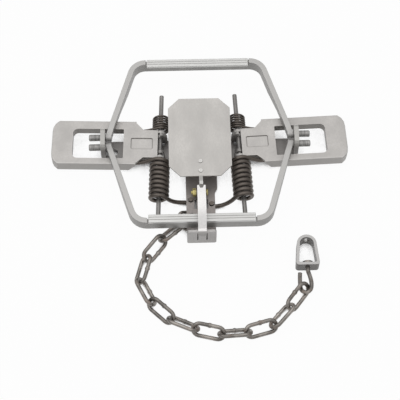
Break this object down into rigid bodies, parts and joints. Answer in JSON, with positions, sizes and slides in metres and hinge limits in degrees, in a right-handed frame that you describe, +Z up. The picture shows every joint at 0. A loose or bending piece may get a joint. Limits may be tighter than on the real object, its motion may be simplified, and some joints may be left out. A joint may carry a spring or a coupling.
{
  "type": "offset jaw trap",
  "caption": "Double-lever trap lying set: two flat-open offset jaws over pressed spring levers, with a pan, a dog and a chain to a box swivel.",
  "frame": {"origin": "centre of the base bar's underside, on the ground", "axes": "+X along the base bar to the right-hand lever, +Y away from the chain, +Z up"},
  "size_m": [0.3114, 0.3168, 0.0454],
  "materials": {
    "base_steel": "satin",
    "plate_steel": "satin",
    "dog_steel": "satin",
    "pan_steel": "satin",
    "lever_steel": "satin",
    "jaw_steel": "satin",
    "strip_steel": "satin",
    "rod_steel": "satin",
    "spring_steel": "dark oiled",
    "chain_steel": "dull, slightly rusted",
    "brass": "satin"
  },
  "bodies": {
    "frame": {"base_frame": "base_steel", "cross_plate": "plate_steel", "ring_stud": "plate_steel", "cross_plate_rivet_1": "plate_steel", "cross_plate_rivet_2": "plate_steel", "cross_plate_rivet_3": "plate_steel", "cross_plate_rivet_4": "plate_steel", "front_spring_left": "spring_steel", "front_spring_right": "spring_steel", "rear_spring_left": "spring_steel", "rear_spring_right": "spring_steel", "spring_rod_left": "rod_steel", "spring_rod_right": "rod_steel", "pan_bolt": "brass", "pan_nut": "brass"},
    "front_jaw": {"front_jaw": "jaw_steel", "front_jaw_strip": "strip_steel"},
    "rear_jaw": {"rear_jaw": "jaw_steel", "rear_jaw_strip": "strip_steel"},
    "lever_left": {"lever_left": "lever_steel"},
    "lever_right": {"lever_right": "lever_steel"},
    "pan": {"pan_plate": "pan_steel", "pan_shank": "pan_steel"},
    "dog": {"dog": "dog_steel"},
    "chain_ring": {"chain_ring": "chain_steel"},
    "chain_link_01": {"chain_link_01": "chain_steel"},
    "chain_link_02": {"chain_link_02": "chain_steel"},
    "chain_link_03": {"chain_link_03": "chain_steel"},
    "chain_link_04": {"chain_link_04": "chain_steel"},
    "chain_link_05": {"chain_link_05": "chain_steel"},
    "chain_link_06": {"chain_link_06": "chain_steel"},
    "chain_link_07": {"chain_link_07": "chain_steel"},
    "chain_link_08": {"chain_link_08": "chain_steel"},
    "chain_link_09": {"chain_link_09": "chain_steel"},
    "chain_link_10": {"chain_link_10": "chain_steel"},
    "chain_link_11": {"chain_link_11": "chain_steel"},
    "swivel_eye": {"swivel_eye": "chain_steel"},
    "swivel_box": {"swivel_box": "chain_steel"}
  },
  "joints": [
    {"name": "front_jaw_hinge", "type": "hinge", "parent": "frame", "child": "front_jaw", "pos_m": [0, -0.00585, 0.0225], "axis": [-1, 0, 0], "range_deg": [0, 84.4]},
    {"name": "rear_jaw_hinge", "type": "hinge", "parent": "frame", "child": "rear_jaw", "pos_m": [0, 0.00585, 0.0225], "axis": [1, 0, 0], "range_deg": [0, 84.4]},
    {"name": "lever_left_hinge", "type": "hinge", "parent": "frame", "child": "lever_left", "pos_m": [-0.0415, 0, 0.014], "axis": [0.0384, 0.9993, 0], "range_deg": [0, 20.3], "deforming": ["front_spring_left", "rear_spring_left"]},
    {"name": "lever_right_hinge", "type": "hinge", "parent": "frame", "child": "lever_right", "pos_m": [0.0415, 0, 0.014], "axis": [0.0384, -0.9993, 0], "range_deg": [0, 20.3], "deforming": ["front_spring_right", "rear_spring_right"]},
    {"name": "pan_hinge", "type": "hinge", "parent": "frame", "child": "pan", "pos_m": [0, -0.057, 0.014], "axis": [-1, 0, 0], "range_deg": [0, 6]},
    {"name": "dog_hinge", "type": "hinge", "parent": "frame", "child": "dog", "pos_m": [0, -0.1068, 0.023], "axis": [1, 0, 0], "range_deg": [0, 179.9]},
    {"name": "ring_swing", "type": "hinge", "parent": "frame", "child": "chain_ring", "pos_m": [-0.0102, -0.0802, 0.0032], "axis": [0, 0, 1], "range_deg": [-3, 1.5]},
    {"name": "chain_link_01_swing", "type": "hinge", "parent": "chain_ring", "child": "chain_link_01", "pos_m": [-0.0204, -0.0897, 0.0069], "axis": [0, 0, -1], "range_deg": [-3, 3]},
    {"name": "chain_link_02_swing", "type": "hinge", "parent": "chain_link_01", "child": "chain_link_02", "pos_m": [-0.04062, -0.10667, 0.0069], "axis": [0, 0, 1], "range_deg": [-8, 8]},
    {"name": "chain_link_03_swing", "type": "hinge", "parent": "chain_link_02", "child": "chain_link_03", "pos_m": [-0.05688, -0.12747, 0.0069], "axis": [0, 0, -1], "range_deg": [-8, 8]},
    {"name": "chain_link_04_swing", "type": "hinge", "parent": "chain_link_03", "child": "chain_link_04", "pos_m": [-0.06415, -0.15285, 0.0069], "axis": [0, 0, 1], "range_deg": [-8, 8]},
    {"name": "chain_link_05_swing", "type": "hinge", "parent": "chain_link_04", "child": "chain_link_05", "pos_m": [-0.05258, -0.17658, 0.0069], "axis": [0, 0, -1], "range_deg": [-8, 8]},
    {"name": "chain_link_06_swing", "type": "hinge", "parent": "chain_link_05", "child": "chain_link_06", "pos_m": [-0.03359, -0.19492, 0.0069], "axis": [0, 0, 1], "range_deg": [-8, 8]},
    {"name": "chain_link_07_swing", "type": "hinge", "parent": "chain_link_06", "child": "chain_link_07", "pos_m": [-0.00947, -0.20566, 0.0069], "axis": [0, 0, -1], "range_deg": [-8, 8]},
    {"name": "chain_link_08_swing", "type": "hinge", "parent": "chain_link_07", "child": "chain_link_08", "pos_m": [0.01614, -0.21204, 0.0069], "axis": [0, 0, 1], "range_deg": [-8, 8]},
    {"name": "chain_link_09_swing", "type": "hinge", "parent": "chain_link_08", "child": "chain_link_09", "pos_m": [0.04251, -0.21066, 0.0069], "axis": [0, 0, -1], "range_deg": [-8, 8]},
    {"name": "chain_link_10_swing", "type": "hinge", "parent": "chain_link_09", "child": "chain_link_10", "pos_m": [0.06801, -0.20383, 0.0069], "axis": [0, 0, 1], "range_deg": [-8, 8]},
    {"name": "chain_link_11_swing", "type": "hinge", "parent": "chain_link_10", "child": "chain_link_11", "pos_m": [0.08567, -0.18421, 0.0069], "axis": [0, 0, -1], "range_deg": [-8, 8]},
    {"name": "swivel_eye_swing", "type": "hinge", "parent": "chain_link_11", "child": "swivel_eye", "pos_m": [0.10193, -0.1634, 0.0069], "axis": [0, 0, 1], "range_deg": [-5, 5]},
    {"name": "swivel_spin", "type": "hinge", "parent": "swivel_eye", "child": "swivel_box", "pos_m": [0.10563, -0.14241, 0.0072], "axis": [0, 1, 0], "continuous": true}
  ],
  "couplings": [
    {"joint": "rear_jaw_hinge", "follows": "front_jaw_hinge", "ratio": 1},
    {"joint": "lever_left_hinge", "follows": "front_jaw_hinge", "ratio": 0.24},
    {"joint": "lever_right_hinge", "follows": "front_jaw_hinge", "ratio": 0.24},
    {"joint": "dog_hinge", "follows": "front_jaw_hinge", "ratio": 2.13}
  ]
}
